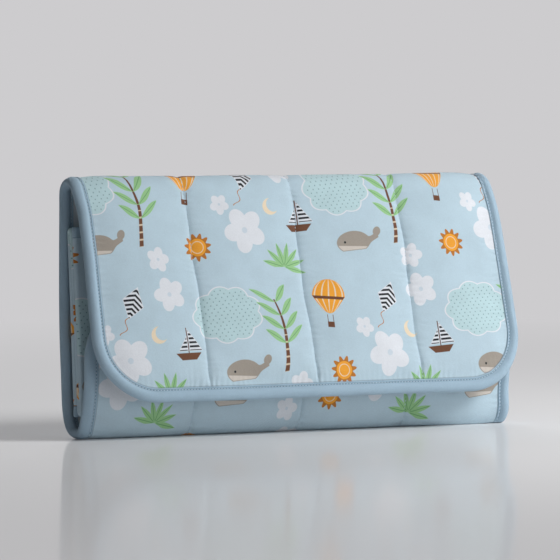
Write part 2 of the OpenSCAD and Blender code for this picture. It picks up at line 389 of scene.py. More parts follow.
def thicken(bm):
    """Gives a flat sheet a second side. Its rim comes in a chance order, so edges and faces are put
    in order of their points, and each run gives the same mesh."""
    bmesh.ops.solidify(bm, geom=bm.faces[:] + bm.edges[:] + bm.verts[:], thickness=0.1)
    bm.verts.sort(key=lambda v: v.co.z * 1e6 + v.co.y * 1e3 + v.co.x)
    bm.verts.index_update()
    count = len(bm.verts)

    def order(part):
        numbers = sorted(v.index for v in part.verts)
        return (numbers[0] * count + numbers[1]) * count + numbers[-1]

    bm.edges.sort(key=order)
    bm.faces.sort(key=order)


def coordinates(bm):
    """Every vertex's place, as rows."""
    return np.array([v.co[:] for v in bm.verts], float)


def move_to(bm, places):
    """Moves every vertex to its row of places."""
    for v, place in zip(bm.verts, places):
        v.co = place


def write_pattern(bm, flat):
    """Keeps each point's place on the flat cloth, in metres, as the UV map."""
    layer = bm.loops.layers.uv.verify()
    for face in bm.faces:
        for loop in face.loops:
            loop[layer].uv = flat[loop.vert.index][:2] * MM


def finish_mesh(bm, name, material, smooth=True):
    """Makes the bmesh an object of the scene."""
    mesh = bpy.data.meshes.new(name)
    bm.to_mesh(mesh)
    bm.free()
    obj = bpy.data.objects.new(name, mesh)
    bpy.context.collection.objects.link(obj)
    for m in material if isinstance(material, (list, tuple)) else [material]:
        mesh.materials.append(m)
    mesh.polygons.foreach_set("use_smooth", [smooth] * len(mesh.polygons))
    return obj


def spread(fractions, stations):
    """Reads evenly numbered stations at fractions from 0 to 1."""
    return np.interp(fractions, np.linspace(0, 1, len(stations)), stations)


# ---------------------------------------------------------------- materials
def node(tree, kind, inputs=None, **settings):
    """Adds a node, sets it up, and links or fills the inputs named or numbered in inputs."""
    made = tree.nodes.new(kind)
    for key, value in settings.items():
        setattr(made, key, value)
    for key, value in (inputs or {}).items():
        socket = made.inputs[key]
        if isinstance(value, bpy.types.NodeSocket):
            tree.links.new(value, socket)
        else:
            socket.default_value = value
    return made


class Field:
    """A number that varies over the cloth, worked out by a chain of nodes."""

    def __init__(self, tree, socket):
        self.tree, self.socket = tree, socket

    def step(self, operation, *others, clamp=False):
        """One step of arithmetic on this number and others."""
        values = [f.socket if isinstance(f, Field) else f for f in (self, *others)]
        made = node(self.tree, "ShaderNodeMath", dict(enumerate(values)), operation=operation,
                    use_clamp=clamp)
        return Field(self.tree, made.outputs[0])

    def __add__(self, other):
        return self.step("ADD", other)

    def __sub__(self, other):
        return self.step("SUBTRACT", other)

    def __mul__(self, other):
        return self.step("MULTIPLY", other)

    def __truediv__(self, other):
        return self.step("DIVIDE", other)

    def __neg__(self):
        return self * -1.0

    def __abs__(self):
        return self.step("ABSOLUTE")

    def least(self, other):
        """The smaller of the two: either shape."""
        return self.step("MINIMUM", other)

    def most(self, other):
        """The larger of the two: where both shapes lie."""
        return self.step("MAXIMUM", other)

    def sine(self, rate=1.0, shift=0.0):
        """Sine of this number times a rate, shifted."""
        return self.step("MULTIPLY_ADD", rate, shift).step("SINE")

    def times_plus(self, factor, added):
        """This number times one, plus another."""
        return self.step("MULTIPLY_ADD", factor, added)


def reach(x, y):
    """Distance from a motif's middle."""
    return (x * x + y * y).step("SQRT")


def inked(f, soft=0.3):
    """How much ink there is where the shape's distance is f: 1 inside, 0 outside."""
    return f.step("MULTIPLY_ADD", -1 / soft, 0.5, clamp=True)


def fill(colour, mask, ink):
    """Lays an ink over the colour so far."""
    return node(mask.tree, "ShaderNodeMix", {0: mask.socket, 6: colour, 7: linear(ink)},
                data_type="RGBA").outputs[2]


# The print's brick repeat: each motif comes once in every REPEAT, and each row of repeats is
# shifted by half a width
REPEAT = (215.0, 95.0)


def placed(u, v, at, turn=0.0, size=1.0):
    """Coordinates about the nearest copy of a motif, in millimetres of its drawing."""
    row = (v - at[1]).step("DIVIDE", REPEAT[1]).step("ROUND")
    y = row.times_plus(-REPEAT[1], v - at[1])
    x = row.times_plus(-REPEAT[0] / 2, u - at[0]).step("WRAP", REPEAT[0] / 2, -REPEAT[0] / 2)
    c, s = math.cos(math.radians(turn)) / size, math.sin(math.radians(turn)) / size
    return x.times_plus(c, y * s), y.times_plus(c, x * -s)


INKS = {"white": "#dfe3e9", "mint": "#bad5da", "mint_dot": "#84a5ab", "green": "#98c68e",
        "deep_green": "#5f9c62", "brown": "#6d4733", "orange": "#efa336", "taupe": "#9f978d",
        "pale_taupe": "#cfc7be", "black": "#22252a", "cream": "#ead9bd", "rust": "#b9752f"}


def blossom(colour, u, v, at, size, turn=0.0):
    """White five-petalled flower."""
    x, y = placed(u, v, at, turn)
    angle = y.step("ARCTAN2", x)
    edge = abs(angle.sine(2.5)).times_plus(0.34 * size, 0.66 * size)
    r = reach(x, y)
    colour = fill(colour, inked(r - edge, 0.6), INKS["white"])
    return fill(colour, inked(r - 0.13 * size, 0.5), "#ccd8e2")


def medallion(colour, u, v, at):
    """Scalloped oval of dotted mint with a pale outline."""
    x, y = placed(u, v, at, 4)
    wide = x * 0.74
    angle = y.step("ARCTAN2", wide)
    edge = reach(wide, y) - abs(angle.sine(4.5)).times_plus(2.6, 18.6)
    colour = fill(colour, inked(edge), INKS["mint"])
    row = (y / 2.6).step("ROUND")
    spot_x = row.times_plus(2.4, x).step("WRAP", 2.4, -2.4)
    spot_y = row.times_plus(-2.6, y)
    spots = (reach(spot_x, spot_y) - 0.5).most(edge + 1.6)
    colour = fill(colour, inked(spots), INKS["mint_dot"])
    return fill(colour, inked(abs(edge) - 0.45), INKS["white"])


def balloon(colour, u, v, at):
    """Striped hot-air balloon with its basket."""
    x, y = placed(u, v, at, -6)
    low = (-y + 6.0).most(0.0)
    wide = x * low.times_plus(0.055, 1.0)
    up = y - 6.0
    envelope = reach(wide, up) - 13.0
    across = wide / (up * up).times_plus(-1.0, 176.0).most(4.0).step("SQRT")
    colour = fill(colour, inked(envelope), INKS["orange"])
    bands = abs(across.sine(7.5)) - 0.32
    colour = fill(colour, inked((bands * 3.0).most(envelope + 0.4)), INKS["cream"])
    belt = abs(y - 5.0) - 1.1
    colour = fill(colour, inked(belt.most(envelope + 0.2)), INKS["brown"])
    basket = (abs(x) - 2.7).most(abs(y + 15.5) - 2.1)
    ropes = (abs(abs(x) - 2.2) - 0.25).most(abs(y + 11.0) - 3.0)
    return fill(colour, inked(basket.least(ropes)), INKS["brown"])


def whale(colour, u, v, at):
    """Small taupe whale."""
    x, y = placed(u, v, at, 5)
    body = reach((x + 4.0) * 0.62, y) - 8.6
    body = body.most(-y - 6.2)
    stalk = (abs(y.times_plus(1.0, x * -0.42) + 3.6) - 2.2).most(abs(x - 10.0) - 7.5)
    fluke_x, fluke_y = x - 17.5, y - 5.2
    left = reach((fluke_x + fluke_y * 0.5) * 0.6, fluke_y.times_plus(0.7, fluke_x * -0.5) - 1.0) - 2.6
    shape = body.step("SMOOTH_MIN", stalk, 3.0).least(left)
    colour = fill(colour, inked(shape), INKS["taupe"])
    belly = shape.most(y.times_plus(1.0, x * 0.12) + 3.0) + 0.5
    colour = fill(colour, inked(belly), INKS["pale_taupe"])
    return fill(colour, inked(reach(x + 11.0, y - 0.6) - 0.9), INKS["black"])


def sailboat(colour, u, v, at):
    """Sailing boat with a striped sail."""
    x, y = placed(u, v, at, 3)
    sail = (-x + 0.7).most(-y - 4.2).most((x * 0.82 + y * 0.57) - 7.6)
    jib = (x + 0.6).most(-y - 4.2).most((x * -0.82 + y * 0.57) - 4.6)
    sails = sail.least(jib)
    colour = fill(colour, inked(sails), INKS["white"])
    colour = fill(colour, inked((y.sine(2.1, 0.4) * 0.7).most(sails + 0.35)), INKS["black"])
    hull = (abs(x) - (y + 8.0).times_plus(0.9, 8.6)).most(abs(y + 8.2) - 2.6)
    mast = (abs(x) - 0.4).most(abs(y - 2.0) - 11.0)
    return fill(colour, inked(hull.least(mast)), INKS["brown"])


def kite(colour, u, v, at):
    """Diamond kite in black and white stripes, with a tail."""
    x, y = placed(u, v, at, -24)
    shape = (abs(x) * 0.83).times_plus(1.0, abs(y) * 0.56) - 7.2
    colour = fill(colour, inked(shape), INKS["white"])
    bent = y.times_plus(1.0, abs(x) * 0.5)
    colour = fill(colour, inked((bent.sine(1.75) * 0.8).most(shape + 0.4)), INKS["black"])
    tail = (abs(x - y.sine(0.55) * 1.8) - 0.32).most(abs(y + 19.0) - 7.0)
    return fill(colour, inked(tail), INKS["rust"])


def sun(colour, u, v, at):
    """Round sun with short rays."""
    x, y = placed(u, v, at)
    r = reach(x, y)
    rays = r - y.step("ARCTAN2", x).sine(11.0).times_plus(1.7, 9.0)
    colour = fill(colour, inked(rays), INKS["rust"])
    colour = fill(colour, inked(r - 6.6), INKS["orange"])
    return fill(colour, inked(abs(r - 4.4) - 0.28), INKS["cream"])


def frond(colour, u, v, at, turn, size=1.0):
    """Tall leafy sprig on a curved, banded stem."""
    x, y = placed(u, v, at, turn, size)
    bow = y * y * -0.0055
    off = x - bow
    stem = (abs(off) - (y * -0.022 + 1.15)).most(abs(y + 4.0) - 27.0)
    colour = fill(colour, inked(stem), INKS["brown"])
    bands = (-y.sine(1.15) + 0.8).most(stem).most(y + 4.0)
    colour = fill(colour, inked(bands, 0.5), INKS["cream"])
    side = abs(off)
    along = y.times_plus(1.0, side * -0.75)
    leaf = abs(along.step("WRAP", 5.2, -5.2)) - side.sine(math.pi / 16.5) * 3.1
    leaf = leaf.most(side - 16.0).most(abs(along - 5.2) - 20.8)
    colour = fill(colour, inked(leaf), INKS["green"])
    vein = (abs(along.step("WRAP", 5.2, -5.2)) - 0.25).most(leaf + 0.8)
    return fill(colour, inked(vein), INKS["deep_green"])


def fan_leaf(colour, u, v, at, turn):
    """Open fan of narrow leaves."""
    x, y = placed(u, v, at, turn)
    y = y + 6.0
    r = reach(x, y)
    angle = x.step("ARCTAN2", y)
    local = angle.step("WRAP", 0.26, -0.26)
    leaf = abs(local.step("SINE")) * r - r.sine(math.pi / 19.0) * 2.1
    leaf = leaf.most(r - 18.6).most(abs(angle) * 6.0 - 11.0)
    colour = fill(colour, inked(leaf), INKS["green"])
    return fill(colour, inked((abs(local) * r - 0.22).most(leaf + 0.5)), INKS["deep_green"])


def moon(colour, u, v, at):
    """Small crescent moon."""
    x, y = placed(u, v, at, 20)
    shape = (reach(x, y) - 6.4).most(-reach(x - 3.0, y - 0.6) + 5.6)
    return fill(colour, inked(shape), INKS["cream"])


def nursery_print(tree, uv, cut=(0.0, 0.0)):
    """Colour of the printed cotton: small motifs inked on a pale ground. cut is the place on the
    cloth, in millimetres, where the piece was cut out."""
    flat = node(tree, "ShaderNodeSeparateXYZ", {0: uv})
    u, v = (Field(tree, flat.outputs[k]) * 1000.0 + cut[k] for k in (0, 1))
    colour = blossom(colours().ground, u, v, (62, 30), 17.5, 10)
    colour = blossom(colour, u, v, (-14, 9), 9.5, 40)
    colour = blossom(colour, u, v, (99, 78), 13.0, 75)
    colour = blossom(colour, u, v, (44, 50), 8.0, 20)
    colour = medallion(colour, u, v, (-70, 62))
    colour = balloon(colour, u, v, (18, 68))
    colour = whale(colour, u, v, (-58, 20))
    colour = sailboat(colour, u, v, (-106, 40))
    colour = kite(colour, u, v, (68, 72))
    colour = sun(colour, u, v, (22, 18))
    colour = frond(colour, u, v, (-24, 50), 6)
    colour = fan_leaf(colour, u, v, (94, 8), -14)
    return moon(colour, u, v, (86, 48))


def cover_print_and_shade(tree, uv):
    """The print on the cover, with a painted shade line where the cloth goes under its binding."""
    inside = from_bound_edge(tree, uv)[2]
    # painted shade: a fine dark line along the crease under the binding, laid over the print
    return fill(nursery_print(tree, uv), inked(abs(inside - 9.9) - 0.35, 0.7) * 0.6, "#64798a")


def new_material(name):
    """A node material without nodes, and its node tree."""
    material = bpy.data.materials.new(name)
    material.use_nodes = True
    material.node_tree.nodes.clear()
    return material, material.node_tree


def weave_height(tree, uv, pitch):
    """Height of a plain weave of the given thread spacing, in millimetres, on the flat cloth."""
    flat = node(tree, "ShaderNodeSeparateXYZ", {0: uv})
    turns = math.pi / (pitch * MM)
    return Field(tree, flat.outputs[0]).sine(turns) * Field(tree, flat.outputs[1]).sine(turns)


def from_bound_edge(tree, uv):
    """Coordinates on the flat cover in millimetres, and the distance from its rounded edge."""
    c = cover()
    flat = node(tree, "ShaderNodeSeparateXYZ", {0: uv})
    u, s = (Field(tree, flat.outputs[k]) * 1000.0 for k in (0, 1))
    across = (abs(u) + (c.corner - c.width / 2)).most(0.0)
    along = (-s.least(-s + cover_ribbon().length) + c.corner).most(0.0)
    return u, s, -reach(across, along) + c.corner


def puckers(tree, uv):
    """Height of the small gathers beside the seams and the bound edge, about 4.5 mm apart."""
    u, s, _ = from_bound_edge(tree, uv)
    noise = node(tree, "ShaderNodeTexNoise", {"Vector": uv, "Scale": 1 / (16.7 * MM), "Detail": 1.0})
    uneven = Field(tree, noise.outputs[0])
    channel = cover().width / cover().channels
    seam = abs(u.step("WRAP", channel / 2, -channel / 2))
    beside = (seam.least(abs(abs(u) - cover().width / 2 + 9.6)) * -0.16).step("EXPONENT")
    foot = ((s.least(-s + cover_ribbon().length) - 9.6) * -0.14).step("EXPONENT").least(1.0)
    gathers = s.times_plus(1.2, uneven * 12.0).step("SINE") * beside * 0.45
    ends = u.times_plus(1.4, uneven * 9.0).step("SINE") * foot * (beside + 0.25)
    return (gathers + ends) * (uneven - 0.3).most(0.0)


def cloth(name, colour=None, roughness=0.88, weave=0.12, pattern=None, gathered=None):
    """Woven cotton: matt, faintly mottled, with a fine plain weave raised by bump.

    Its threads lie about 0.3 mm apart, and are drawn 0.55 mm apart so that the weave still shows.
    weave is their height in millimetres. pattern gives the colour where it isn't the same all
    over, and gathered the height of small gathers. It is made once and shared."""
    if name in bpy.data.materials:
        return bpy.data.materials[name]
    thread_pitch, cloudy, slub_length, mottle = 0.55, 18.2, 1.11, 0.06
    material, tree = new_material(name)
    uv = node(tree, "ShaderNodeUVMap").outputs[0]
    place = node(tree, "ShaderNodeTexCoord").outputs["Object"]
    base = pattern(tree, uv) if pattern else colour
    noise = node(tree, "ShaderNodeTexNoise",
                 {"Vector": place, "Scale": 1 / (cloudy * MM), "Detail": 4.0})
    slub = node(tree, "ShaderNodeTexNoise",
                {"Vector": place, "Scale": 1 / (slub_length * MM), "Detail": 2.0})
    slubs = Field(tree, slub.outputs[0])
    mixed = Field(tree, noise.outputs[0]) * 0.6 + slubs * 0.4
    tone = node(tree, "ShaderNodeMapRange",
                {0: mixed.socket, 1: 0.3, 2: 0.7, 3: 1 - mottle, 4: 1 + mottle})
    shade = node(tree, "ShaderNodeMix", {0: 1.0, 6: base, 7: tone.outputs[0]},
                 data_type="RGBA", blend_type="MULTIPLY")
    height = weave_height(tree, uv, thread_pitch) + slubs * 1.5
    bump = node(tree, "ShaderNodeBump",
                {"Height": height.socket, "Distance": weave * MM, "Strength": 0.6})
    if gathered:
        bump = node(tree, "ShaderNodeBump", {"Height": gathered(tree, uv).socket, "Distance": 1.2 * MM,
                                             "Normal": bump.outputs[0]})
    shader = node(tree, "ShaderNodeBsdfPrincipled",
                  {"Base Color": shade.outputs[2], "Roughness": roughness, "Normal": bump.outputs[0],
                   "Sheen Weight": 0.15, "Sheen Roughness": 0.5, "Specular IOR Level": 0.25})
    node(tree, "ShaderNodeOutputMaterial", {0: shader.outputs[0]})
    return material


def printed_cloth():
    """Printed cotton of the cover's outside, gathered a little beside its seams."""
    return cloth("quilted_cotton_print", pattern=cover_print_and_shade, gathered=puckers)


def cut_for_mat(tree, uv):
    """The print on the mat, which was cut from another place on the cloth."""
    return nursery_print(tree, uv, (30.0, 12.0))


def mat_print():
    """Printed cotton of the folded mat's outside: the same print, unquilted."""
    return cloth("plain_cotton_print", pattern=cut_for_mat)


def lining_cloth():
    """Plain cotton lining: pale and matt."""
    return cloth("lining_cotton", colours().lining)


def tape_with_groove_shade(tree, uv):
    """Colour of the bias tape, with painted shade along the groove that the stitching presses in."""
    flat = node(tree, "ShaderNodeSeparateXYZ", {0: uv})
    inward = Field(tree, flat.outputs[1]) * 1000.0
    # painted shade: the tape is darkened along its stitch line, standing in for the shade in that groove
    line = inked(abs(inward - STITCH_INSET) - 0.5, 0.8) * 0.7
    return fill(colours().binding, line, "#6f8a9c")


def binding_cloth():
    """Cotton bias tape, cut at 45 degrees so that it takes the corners smoothly."""
    return cloth("bias_tape_cotton", pattern=tape_with_groove_shade)


def thread_cloth():
    """Twisted polyester sewing thread: a little glossier than the cloth."""
    return cloth("sewing_thread", colours().thread, roughness=0.6)


def wipe_clean_face():
    """Coated cotton of the mat's inside: smooth, with a faint satin gloss."""
    return cloth("coated_cotton", colours().lining, roughness=0.45, weave=0.04)


def tape_cloth(kind):
    """Nylon closure tape: rows of tiny hooks, or a brushed pile of loops."""
    material, tree = new_material(f"{kind}_tape_nylon")
    uv = node(tree, "ShaderNodeUVMap").outputs[0]
    if kind == "hook":
        height = weave_height(tree, uv, 1.0).socket  # hooks stand 1 mm apart
    else:
        pile = node(tree, "ShaderNodeTexNoise", {"Vector": uv, "Scale": 1 / (0.714 * MM), "Detail": 3.0})
        height = pile.outputs[0]
    bump = node(tree, "ShaderNodeBump", {"Height": height, "Distance": 0.5 * MM, "Strength": 0.9})
    shader = node(tree, "ShaderNodeBsdfPrincipled",
                  {"Base Color": linear("#e2e8ec"), "Roughness": 0.55 if kind == "hook" else 0.95,
                   "Normal": bump.outputs[0], "Sheen Weight": 0.05 if kind == "hook" else 0.4})
    node(tree, "ShaderNodeOutputMaterial", {0: shader.outputs[0]})
    return material


# ---------------------------------------------------------------- the cover
SHELL_INSET = 2.0  # the quilted shell ends this far inside the binding's outer edge
STEP = 6.2  # between rows of the shell before it's subdivided
LEAN_START = 0.4  # share of the loft that the shell starts the simulation with
SETTLE_FRAMES = 20  # frames that the wadding takes to fill out
MOST_SWELL = 3.6  # the furthest that the cloth may move in them


def mid_back(length):
    """Where the two halves of the cover's mesh meet, on the still back panel."""
    return length - 170.0


def end_stations(length, half):
    """Rows along one half of the strip, close together round its rounded corners."""
    r = cover().corner - SHELL_INSET
    turn = [SHELL_INSET + r * (1 - math.cos(math.radians(a))) for a in range(9, 91, 9)]
    middle = mid_back(length)
    extent = middle if half == "upper" else length - middle
    straight = np.linspace(turn[-1], extent, int((extent - turn[-1]) / STEP) + 1)[1:]
    rows = np.array([SHELL_INSET] + turn + list(straight))
    return rows if half == "upper" else length - rows[::-1]


def shell_columns():
    """Columns across the strip: one on each seam, and closer together beside it."""
    c = cover()
    edges = [SHELL_INSET - c.width / 2] + seams() + [c.width / 2 - SHELL_INSET]
    t = np.linspace(0, 1, 15)[:-1]
    t = t - 0.62 * np.sin(2 * math.pi * t) / (2 * math.pi)
    return np.concatenate([a + (b - a) * t for a, b in zip(edges, edges[1:])] + [[edges[-1]]])


def shell_sheet(half):
    """One half of the strip as a closed flat panel: object, sides and pattern places."""
    length = cover_ribbon().length
    rows, columns = end_stations(length, half), shell_columns()
    bm = grid(len(columns) - 1, len(rows) - 1)
    thicken(bm)
    raw = coordinates(bm)
    side = np.where(raw[:, 2] > raw[:, 2].mean(), 1.0, -1.0)
    s = spread(raw[:, 1], rows)
    u = spread(raw[:, 0], columns)
    outer = max(seams())
    wide = half_width(s, length, SHELL_INSET)
    share = (np.abs(u) - outer) / (cover().width / 2 - SHELL_INSET - outer)
    u = np.where(share > 0, np.sign(u) * (outer + share * (wide - outer)), u)
    flat = np.stack([u, s, side * swell(u, s, length, side)], 1)
    flat[:, 2] = side * (CLOTH_EDGE + (np.abs(flat[:, 2]) - CLOTH_EDGE) * LEAN_START)
    move_to(bm, flat * MM)
    crease = bm.edges.layers.float.new("crease_edge")
    for face in bm.faces:
        sides = {side[v.index] for v in face.verts}
        face.material_index = 1 if sides == {-1.0} else 0
        for edge in face.edges if len(sides) == 2 else []:
            edge[crease] = float(len({side[v.index] for v in edge.verts}) == 1)
    bmesh.ops.recalc_face_normals(bm, faces=bm.faces)
    obj = finish_mesh(bm, f"quilted_panel_{half}", [printed_cloth(), lining_cloth()])
    return obj, side, flat


def fill_out(obj, held, most):
    """Blows a flat panel up with its wadding: cloth under pressure, held along its seams and
    its bound edge, and moved at most so many millimetres."""
    start = places_of(obj)
    group = obj.vertex_groups.new(name="held")
    for index, weight in enumerate(held):
        group.add([index], float(weight), "REPLACE")
    cloth_step = obj.modifiers.new("wadding", "CLOTH")
    settings = cloth_step.settings
    settings.quality = 6
    settings.mass = 0.2
    settings.tension_stiffness = settings.compression_stiffness = 12
    settings.bending_stiffness = 0.1
    settings.vertex_group_mass = "held"
    settings.use_pressure = True
    settings.uniform_pressure_force = 4
    settings.shrink_min = -0.009
    settings.effector_weights.gravity = 0
    cloth_step.collision_settings.use_collision = False
    cloth_step.point_cache.frame_end = SETTLE_FRAMES
    scene = bpy.context.scene
    for number in range(1, SETTLE_FRAMES + 1):
        scene.frame_set(number)
    settled = bpy.data.meshes.new_from_object(obj.evaluated_get(bpy.context.evaluated_depsgraph_get()))
    end = np.empty(len(start) * 3)
    settled.vertices.foreach_get("co", end)
    bpy.data.meshes.remove(settled)
    move = end.reshape(-1, 3) / MM - start
    far = np.maximum(np.linalg.norm(move, axis=1, keepdims=True), 1e-9)
    most = np.maximum(most, 0.01)[:, None]
    obj.modifiers.remove(cloth_step)
    obj.vertex_groups.clear()
    scene.frame_set(1)
    place_all(obj, start + move * (most * np.tanh(far / most) / far))


def places_of(obj):
    """An object's vertices, in millimetres."""
    places = np.empty(len(obj.data.vertices) * 3)
    obj.data.vertices.foreach_get("co", places)
    return places.reshape(-1, 3) / MM


def place_all(obj, places):
    """Moves an object's vertices to places in millimetres."""
    obj.data.vertices.foreach_set("co", (places * MM).ravel())
    obj.data.update()


def cover_shell(half):
    """One half of the quilted strip: a closed, padded panel with its print outside."""
    length = cover_ribbon().length
    obj, side, flat = shell_sheet(half)
    u, s = flat[:, 0], flat[:, 1]
    held = np.clip(1.2 - (edge_distance(u, s, length) - 9) / 5, 0, 1)
    held = np.maximum(held, (seam_gap(u) < 0.5) | (np.abs(s - mid_back(length)) < 1))
    most = MOST_SWELL * np.where(side > 0, 1, 0.45) * (1 - 0.72 * crown(s)) * (1 - 0.65 * keel(s))
    fill_out(obj, held, most * (1 - on_tape_bed(u, s, length, side)))
    finer = obj.modifiers.new("finer", "SUBSURF")
    finer.levels = finer.render_levels = 1
    mesh = bpy.data.meshes.new_from_object(obj.evaluated_get(bpy.context.evaluated_depsgraph_get()))
    obj.modifiers.remove(finer)
    bm = bmesh.new()
    bm.from_mesh(mesh)
    bpy.data.meshes.remove(mesh)
    settle_shell(bm, length)
    bm.to_mesh(obj.data)
    bm.free()
    obj.data.polygons.foreach_set("use_smooth", [True] * len(obj.data.polygons))
    place_flat(obj, fold_cover)
    return obj


def settle_shell(bm, length):
    """After subdivision: the thread draws the seams down, the closures lie flat on the lining,
    and the cloth's pattern is kept."""
    flat = coordinates(bm) / MM
    u, s, h = flat.T
    side = np.where(h > 0, 1.0, -1.0)
    gap = seam_gap(u)
    bed = swell(u, s, length, side)
    thick = np.abs(h)
    rise = 1.5 * (np.exp(-gap / 12) - np.exp(-gap / 2.2)) * (1 - keel(s)) * (1 - 0.8 * crown(s))
    inside = np.clip((edge_distance(u, s, length) - 10) / 6, 0, 1)
    thick = thick + rise * np.where(side > 0, 1, 0.4) * inside
    joined = np.exp(-((s - mid_back(length)) / 9) ** 2)
    thick = thick + (bed - thick) * joined
    thick = np.where(gap < 0.3, bed, thick)
    thick = np.minimum(thick, np.where(on_tape_bed(u, s, length, side) > 0, bed, thick))
    flat = np.stack([u, s, side * thick], 1)
    move_to(bm, flat)
    bm.verts.index_update()
    write_pattern(bm, flat)
    bm.normal_update()
    for edge in bm.edges:
        on_seam = all(gap[v.index] < 0.3 for v in edge.verts)
        if on_seam or edge.calc_face_angle(0.0) > 0.9:
            edge.smooth = False


def place_flat(obj, fold):
    """Folds an object's flat pattern, in millimetres, into place, and turns its faces outwards."""
    bm = bmesh.new()
    bm.from_mesh(obj.data)
    move_to(bm, fold(coordinates(bm)))
    bmesh.ops.recalc_face_normals(bm, faces=bm.faces)
    bm.to_mesh(obj.data)
    bm.free()


def bend_with(obj, half):
    """Bakes a piece of the cover's transform into its mesh."""
    if half == "upper":
        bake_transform(obj)
    else:
        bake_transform(obj)


LAYERS = {"upper": [f"{a}_{b}" for a in ("back", "top_fold", "flap")
                    for b in ("outer_fabric", "wadding", "lining")],
          "lower": [f"{a}_{b}" for a in ("bottom_fold", "front")
                    for b in ("outer_fabric", "wadding", "lining")]}
EDGES = {"upper": ["back_binding_left", "back_binding_right", "top_fold_binding_left",
                   "top_fold_binding_right", "flap_binding"],
         "lower": ["bottom_fold_binding_left", "bottom_fold_binding_right", "front_binding"]}


class PAD_OT_cover(bpy.types.Operator):
    """Build the quilted strip that folds round the mat."""
    bl_idname = "pad.cover"
    bl_label = "Quilted cover"

    def execute(self, context):
        for half in ("upper", "lower"):
            panel = cover_shell(half)
            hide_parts(*LAYERS[half])
            bend_with(panel, half)
        return {"FINISHED"}


# ---------------------------------------------------------------- bias binding and stitching
def outline(length, half):
    """The strip's edge from mid-back left, round one rounded end, to mid-back right: rows of
    across, along, and the inward direction."""
    c = cover()
    w, r = c.width / 2, c.corner
    middle = mid_back(length)
    extent = middle if half == "upper" else length - middle
    rows = [(-w, s, 1, 0) for s in np.arange(extent, r, -2.2)]
    for a in np.radians(np.arange(0, 90, 3)):
        rows.append((-w + r - r * math.cos(a), r - r * math.sin(a), math.cos(a), math.sin(a)))
    rows += [(u, 0, 0, 1) for u in np.arange(r - w, w - r, 3)]
    for a in np.radians(np.arange(90, 0, -3)):
        rows.append((w - r + r * math.cos(a), r - r * math.sin(a), -math.cos(a), math.sin(a)))
    rows += [(w, s, -1, 0) for s in np.append(np.arange(r, extent, 2.2), extent)]
    rows = np.array(rows, float)
    if half == "lower":
        rows[:, 1] = length - rows[:, 1]
        rows[:, 3] *= -1
    return rows


# Folded tape round the edge: inward from the edge, and out of the middle
TAPE_FACE = [(9.6, 1.6), (9.55, 2.5), (9.2, 2.75), (8.6, 2.5), (8.0, 1.95), (7.3, 2.3), (6.2, 3.2),
             (4.8, 3.75), (3.4, 3.65), (1.9, 3.05), (0.5, 2.05), (-0.4, 0.9)]
TAPE_SECTION = TAPE_FACE + [(w, -h) for w, h in reversed(TAPE_FACE)]


def cover_binding(half):
    """Bias tape folded over one half of the strip's edge."""
    length = cover_ribbon().length
    rows = outline(length, half)
    along = running(rows[:, :2])
    section = np.array(TAPE_SECTION + TAPE_SECTION[:1])
    bm = grid(len(rows) - 1, len(section) - 1)
    raw = coordinates(bm)
    at = [spread(raw[:, 0], rows[:, k]) for k in range(4)]
    w, h = spread(raw[:, 1], section[:, 0]), spread(raw[:, 1], section[:, 1])
    t = spread(raw[:, 0], along)
    corner = np.abs(at[2] * at[3]) * 2
    # The tape puckers a little along its stitches, most at the rounded corners
    crease = np.sin(t / 0.95 + 1.5 * np.sin(t / 7)) * np.clip(w / 4, 0, 1) * np.clip((9.5 - w) / 2, 0, 1)
    h = h * (1 + (0.012 + 0.05 * corner) * crease + 0.03 * np.sin(t / 17)) * (1 - 0.12 * crown(at[1]))
    flat = np.stack([at[0] + at[2] * w, at[1] + at[3] * w, h], 1)
    move_to(bm, flat)
    write_pattern(bm, np.stack([t, w, h], 1))
    return close_tube(bm, f"binding_{half}", fold_cover, binding_cloth())


def close_tube(bm, name, fold, material):
    """Joins a grid rolled into a tube along its seam, and closes its two ends."""
    bmesh.ops.remove_doubles(bm, verts=bm.verts, dist=1e-4)
    ends = [e for e in bm.edges if e.is_boundary]
    for edge in ends:
        edge.smooth = False
    bmesh.ops.holes_fill(bm, edges=ends, sides=0)
    obj = finish_mesh(bm, name, material)
    place_flat(obj, fold)
    return obj


def stitches(name, runs, fold, pitch=2.5, size=(0.85, 0.36, 0.3)):
    """Rows of thread: each run gives points (across, along, out) that stitches follow."""
    one = bmesh.new()
    bmesh.ops.create_icosphere(one, subdivisions=1, radius=1)
    bmesh.ops.scale(one, verts=one.verts, vec=size)
    bead = coordinates(one)
    template = bpy.data.meshes.new("stitch")
    one.to_mesh(template)
    one.free()
    bm = bmesh.new()
    places = []
    for run in runs:
        run = np.array(run, float)
        t = running(run)
        for k in range(int(t[-1] / pitch)):
            here, ahead = (np.array([np.interp((k + 0.5) * pitch + more, t, run[:, i])
                                     for i in range(3)]) for more in (0, 0.5))
            turn = math.atan2(ahead[1] - here[1], ahead[0] - here[0])
            along, over = np.array([math.cos(turn), math.sin(turn), 0]), np.array([0, 0, 1])
            cross = np.cross(over, along)
            bm.from_mesh(template)
            places.append(here + bead[:, :1] * along + bead[:, 1:2] * cross + bead[:, 2:] * over)
    move_to(bm, np.concatenate(places))
    bpy.data.meshes.remove(template)
    obj = finish_mesh(bm, name, thread_cloth())
    place_flat(obj, fold)
    return obj


class PAD_OT_binding(bpy.types.Operator):
    """Fold the bias binding over the strip's edge and stitch it down."""
    bl_idname = "pad.binding"
    bl_label = "Bias binding"

    def execute(self, context):
        length = cover_ribbon().length
        for half in ("upper", "lower"):
            tape = cover_binding(half)
            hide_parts(*EDGES[half])
            bend_with(tape, half)
            rows = outline(length, half)
            line = rows[:, :2] + rows[:, 2:] * STITCH_INSET
            runs = [np.column_stack([line, np.full(len(line), side * STITCH_HEIGHT)])
                    for side in (1, -1)]
            thread = stitches(f"binding_stitches_{half}", runs, fold_cover)
            bend_with(thread, half)
        return {"FINISHED"}


